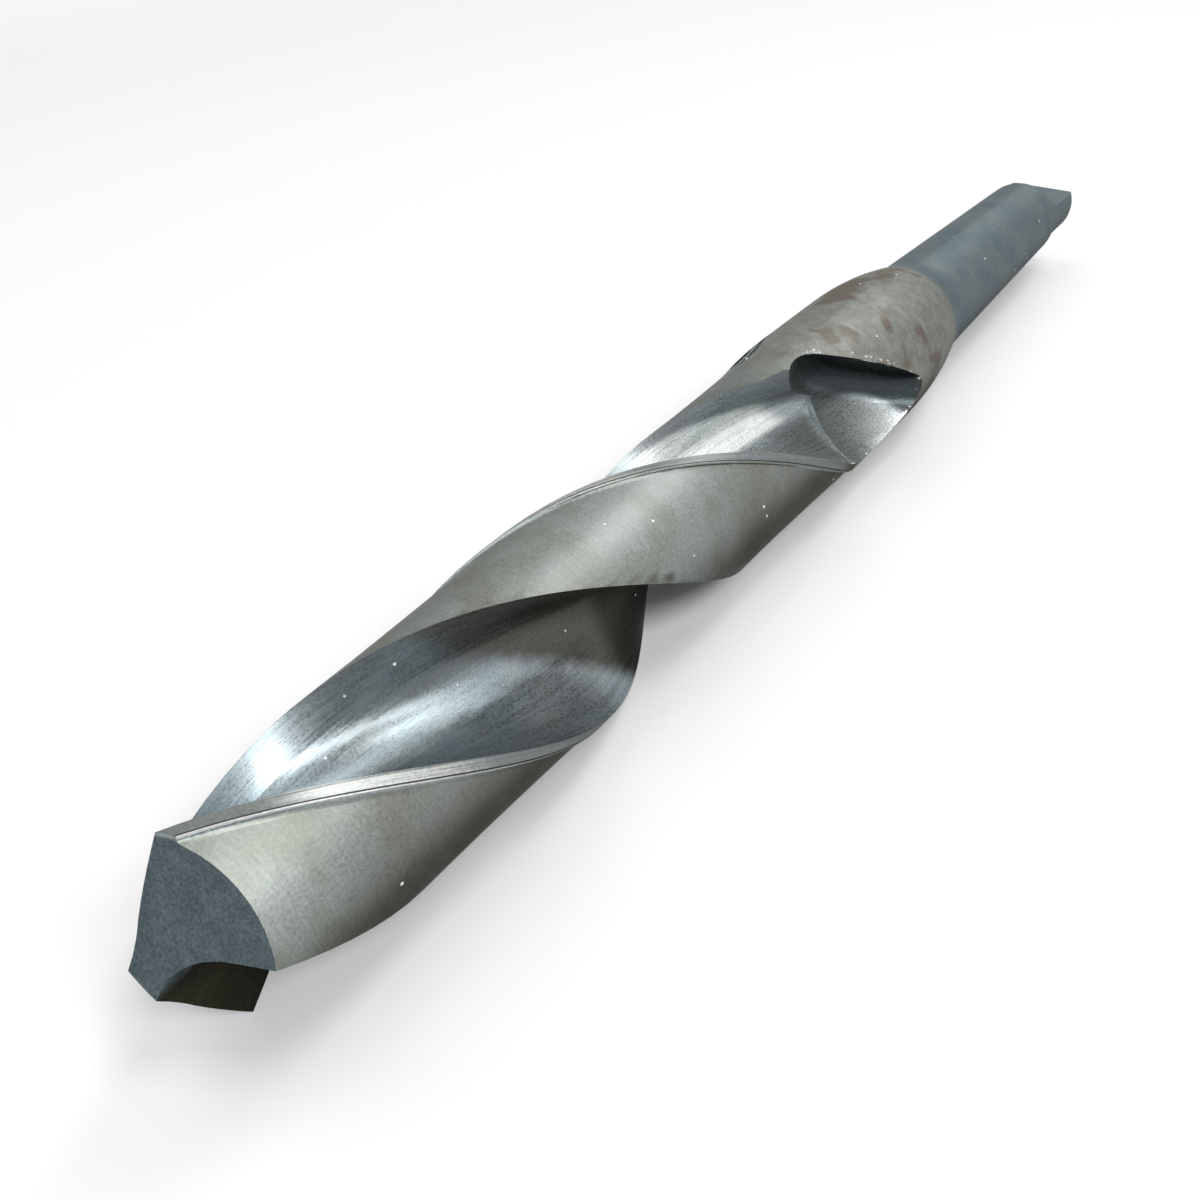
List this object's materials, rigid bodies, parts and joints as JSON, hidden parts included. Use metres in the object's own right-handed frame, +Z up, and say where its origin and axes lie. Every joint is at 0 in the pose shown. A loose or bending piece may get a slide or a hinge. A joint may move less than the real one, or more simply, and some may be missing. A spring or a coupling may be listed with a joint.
{
  "type": "taper shank drill bit",
  "caption": "Large twist drill with right-hand helical flutes, margins, relieved lands, a cone-ground point, a turned neck and a self-holding taper shank with a flat tang.",
  "frame": {"origin": "on the floor under the middle of the drill's length, where the full diameter touches it", "axes": "+X along the drill's axis from the point to the tang, +Z up, square to the tang's flats"},
  "size_m": [0.301, 0.0314, 0.0315],
  "materials": {
    "tool_steel": "satin"
  },
  "bodies": {
    "root": {"drill_bit": "tool_steel"}
  },
  "joints": []
}
